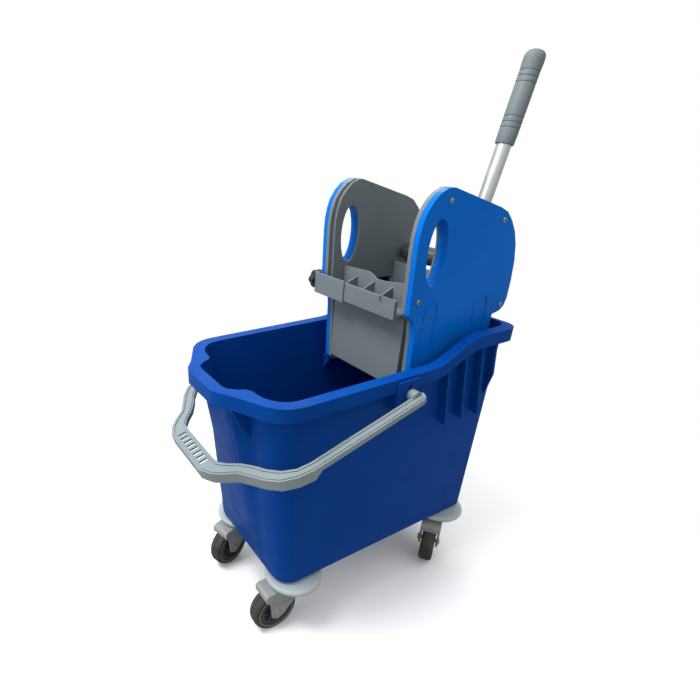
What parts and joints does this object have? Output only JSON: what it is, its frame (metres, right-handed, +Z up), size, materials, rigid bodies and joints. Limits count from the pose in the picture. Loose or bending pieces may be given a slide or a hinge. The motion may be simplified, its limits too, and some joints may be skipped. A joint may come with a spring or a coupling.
{
  "type": "mop bucket with wringer",
  "caption": "Wheeled oblong mop bucket with a swinging carry handle and a lever-operated down-press wringer between side casings at the back.",
  "frame": {"origin": "middle of the bounding box in plan, at floor level under the wheels", "axes": "+Z up, -X towards the front nose of the tub, +X towards the wringer, Y across the width"},
  "size_m": [0.5562, 0.325, 0.8531],
  "materials": {
    "blue_tub": "smooth moulded polypropylene, royal blue",
    "blue_casing": "smooth moulded polypropylene, bright blue",
    "grey_panel": "fine-grained moulded plastic, mid grey",
    "grey_light": "moulded plastic, light grey",
    "grey_fork": "moulded nylon, grey",
    "hub_dark": "moulded nylon, charcoal",
    "knob_black": "moulded plastic, near black",
    "grip_grey": "soft ribbed grip, grey",
    "tyre_black": "rubber tread, black",
    "steel_zinc": "zinc-plated steel",
    "alu_tube": "drawn tube, satin"
  },
  "bodies": {
    "bucket": {"bucket_tub": "blue_tub", "bail_pin_near": "hub_dark", "bail_pin_far": "hub_dark", "castor_bumper_near_front": "grey_light", "castor_stem_near_front": "steel_zinc", "castor_bumper_far_front": "grey_light", "castor_stem_far_front": "steel_zinc", "castor_bumper_near_back": "grey_light", "castor_stem_near_back": "steel_zinc", "castor_bumper_far_back": "grey_light", "castor_stem_far_back": "steel_zinc", "casing_outer_near": "blue_casing", "casing_inner_near": "grey_panel", "casing_screw_near_1": "steel_zinc", "casing_screw_near_2": "steel_zinc", "casing_screw_near_3": "steel_zinc", "casing_screw_near_4": "steel_zinc", "return_spring_near": "steel_zinc", "casing_outer_far": "blue_casing", "casing_inner_far": "grey_panel", "casing_screw_far_1": "steel_zinc", "casing_screw_far_2": "steel_zinc", "casing_screw_far_3": "steel_zinc", "casing_screw_far_4": "steel_zinc", "return_spring_far": "steel_zinc", "front_tray": "grey_panel", "chamber_sieve": "grey_panel", "clamp_bracket": "grey_panel"},
    "handle": {"bail_handle": "grey_light"},
    "lever": {"lever_shaft": "steel_zinc", "lever_hub": "hub_dark", "lever_tube": "alu_tube", "lever_grip": "grip_grey", "drive_sector_near": "steel_zinc", "drive_sector_far": "steel_zinc"},
    "press": {"press_plate": "grey_panel", "press_rack_near": "steel_zinc", "press_rack_far": "steel_zinc"},
    "knob": {"clamp_knob": "knob_black"},
    "castor_near_front": {"castor_fork_near_front": "grey_fork", "castor_axle_near_front": "steel_zinc"},
    "wheel_near_front": {"castor_wheel_near_front": "hub_dark", "castor_tyre_near_front": "tyre_black"},
    "castor_far_front": {"castor_fork_far_front": "grey_fork", "castor_axle_far_front": "steel_zinc"},
    "wheel_far_front": {"castor_wheel_far_front": "hub_dark", "castor_tyre_far_front": "tyre_black"},
    "castor_near_back": {"castor_fork_near_back": "grey_fork", "castor_axle_near_back": "steel_zinc"},
    "wheel_near_back": {"castor_wheel_near_back": "hub_dark", "castor_tyre_near_back": "tyre_black"},
    "castor_far_back": {"castor_fork_far_back": "grey_fork", "castor_axle_far_back": "steel_zinc"},
    "wheel_far_back": {"castor_wheel_far_back": "hub_dark", "castor_tyre_far_back": "tyre_black"}
  },
  "joints": [
    {"name": "handle_swing", "type": "hinge", "parent": "bucket", "child": "handle", "pos_m": [0.01329, 0, 0.414], "axis": [0, 1, 0], "range_deg": [0, 105]},
    {"name": "lever_pull", "type": "hinge", "parent": "bucket", "child": "lever", "pos_m": [0.19429, 0, 0.559], "axis": [0, 1, 0], "range_deg": [0, 60], "stiffness_Nm_per_rad": 1.5, "springref_deg": -22.92},
    {"name": "press_slide", "type": "slide", "parent": "bucket", "child": "press", "axis": [1, 0, 0], "range_m": [-0.0441, 0]},
    {"name": "knob_turn", "type": "hinge", "parent": "bucket", "child": "knob", "pos_m": [0.02829, 0.11, 0.521], "axis": [0, 1, 0], "continuous": true},
    {"name": "swivel_near_front", "type": "hinge", "parent": "bucket", "child": "castor_near_front", "pos_m": [-0.13471, -0.086, 0.088], "axis": [0, 0, 1], "continuous": true},
    {"name": "roll_near_front", "type": "hinge", "parent": "castor_near_front", "child": "wheel_near_front", "pos_m": [-0.17271, -0.086, 0.04], "axis": [0, -1, 0], "continuous": true},
    {"name": "swivel_far_front", "type": "hinge", "parent": "bucket", "child": "castor_far_front", "pos_m": [-0.13471, 0.086, 0.088], "axis": [0, 0, 1], "continuous": true},
    {"name": "roll_far_front", "type": "hinge", "parent": "castor_far_front", "child": "wheel_far_front", "pos_m": [-0.17105, 0.07489, 0.04], "axis": [0.2924, -0.9563, 0], "continuous": true},
    {"name": "swivel_near_back", "type": "hinge", "parent": "bucket", "child": "castor_near_back", "pos_m": [0.20329, -0.086, 0.088], "axis": [0, 0, 1], "continuous": true},
    {"name": "roll_near_back", "type": "hinge", "parent": "castor_near_back", "child": "wheel_near_back", "pos_m": [0.17179, -0.10725, 0.04], "axis": [0.5592, -0.829, 0], "continuous": true},
    {"name": "swivel_far_back", "type": "hinge", "parent": "bucket", "child": "castor_far_back", "pos_m": [0.20329, 0.086, 0.088], "axis": [0, 0, 1], "continuous": true},
    {"name": "roll_far_back", "type": "hinge", "parent": "castor_far_back", "child": "wheel_far_back", "pos_m": [0.17039, 0.067, 0.04], "axis": [0.5, -0.866, 0], "continuous": true}
  ],
  "couplings": [
    {"joint": "press_slide", "follows": "lever_pull", "m_per_rad": -0.042}
  ]
}
